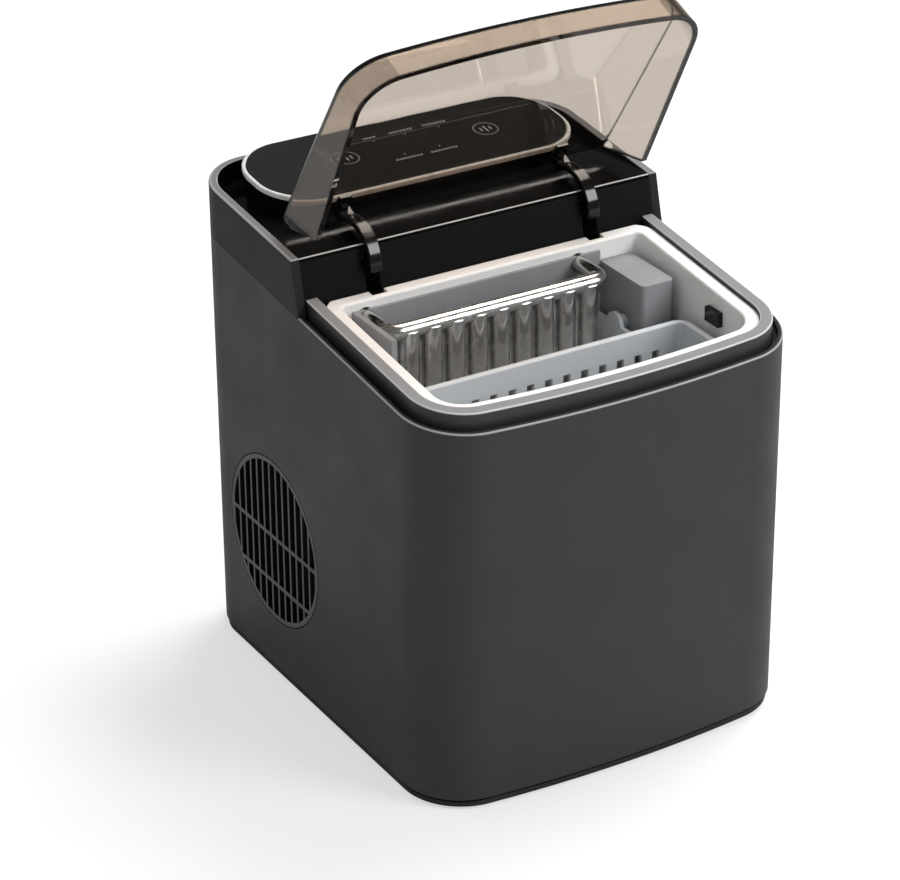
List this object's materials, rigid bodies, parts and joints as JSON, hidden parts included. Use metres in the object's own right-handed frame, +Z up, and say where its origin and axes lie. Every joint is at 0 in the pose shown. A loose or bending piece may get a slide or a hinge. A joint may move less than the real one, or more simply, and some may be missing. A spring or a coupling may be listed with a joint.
{
  "type": "countertop ice maker",
  "caption": "Charcoal countertop ice maker with a sloping top, a smoked hinged lid, a white ice basin with a lift-out basket and a raised touch panel.",
  "frame": {"origin": "centre of the footprint on the surface the feet stand on", "axes": "+Z up, -Y towards the front with the bowed face, +X towards the side with the drain"},
  "size_m": [0.222, 0.258, 0.3806],
  "materials": {
    "casing_plastic": "fine matte",
    "housing_plastic": "fine matte",
    "base_plastic": "matte",
    "collar_plastic": "satin",
    "deck_gloss": "polished",
    "panel_black": "polished",
    "trim_metal": "satin",
    "smoked_plastic": "clear, smoked",
    "white_plastic": "satin",
    "basket_plastic": "satin",
    "grey_plastic": "matte",
    "hose_silicone": "satin",
    "rubber_black": "matte",
    "evaporator_metal": "bright",
    "steel": "satin",
    "copper": "drawn",
    "fin_aluminium": "plain",
    "black_enamel": "gloss",
    "foam": "foamed",
    "board_green": "lacquered"
  },
  "bodies": {
    "machine": {"body_casing": "casing_plastic", "base_tray": "base_plastic", "rubber_feet": "rubber_black", "base_screws": "steel", "vent_grille_left": "casing_plastic", "vent_grille_right": "casing_plastic", "rear_cover": "casing_plastic", "rear_cover_screws": "steel", "power_inlet": "rubber_black", "upper_housing": "housing_plastic", "deck_panel": "deck_gloss", "control_pod": "panel_black", "panel_trim_ring": "trim_metal", "panel_glass": "panel_black", "touch_board": "board_green", "basin_collar": "collar_plastic", "basin_liner": "white_plastic", "foam_insulation": "foam", "bulkhead": "grey_plastic", "evaporator_tube": "evaporator_metal", "evaporator_fingers": "evaporator_metal", "evaporator_bracket": "grey_plastic", "tray_gearmotor": "grey_plastic", "ice_level_sensors": "rubber_black", "water_pump": "grey_plastic", "water_hose": "hose_silicone", "water_level_sensor": "grey_plastic", "drain_cup": "grey_plastic", "compressor": "black_enamel", "compressor_mounts": "rubber_black", "compressor_cover": "rubber_black", "condenser_fins": "fin_aluminium", "condenser_tube": "copper", "fan_shroud": "base_plastic", "fan_motor": "steel", "fan_bracket": "steel", "filter_drier": "copper", "hot_gas_valve": "steel", "discharge_line": "copper", "suction_line": "copper", "capillary_tube": "copper", "main_control_board": "board_green", "board_standoffs": "steel", "hinge_shaft": "steel", "hinge_blocks": "base_plastic"},
    "lid": {"lid_panel": "smoked_plastic", "lid_arm_left": "deck_gloss", "lid_arm_right": "deck_gloss", "lid_arm_screws": "steel"},
    "basket": {"ice_basket": "basket_plastic"},
    "tray": {"water_tray": "basket_plastic"},
    "fan": {"fan_blade": "base_plastic", "fan_shaft": "steel"},
    "plug": {"drain_plug": "rubber_black"}
  },
  "joints": [
    {"name": "lid_hinge", "type": "hinge", "parent": "machine", "child": "lid", "pos_m": [0, 0.029, 0.246], "axis": [-1, 0, 0], "range_deg": [-68.5, 5]},
    {"name": "basket_lift", "type": "slide", "parent": "machine", "child": "basket", "axis": [0, 0, 1], "range_m": [0, 0.15]},
    {"name": "tray_tilt", "type": "hinge", "parent": "machine", "child": "tray", "pos_m": [0, -0.022, 0.197], "axis": [1, 0, 0], "range_deg": [0, 65]},
    {"name": "fan_spin", "type": "hinge", "parent": "machine", "child": "fan", "pos_m": [-0.0695, 0.058, 0.0845], "axis": [1, 0, 0], "continuous": true},
    {"name": "drain_plug_pull", "type": "slide", "parent": "machine", "child": "plug", "axis": [1, 0, 0], "range_m": [0, 0.03]}
  ]
}
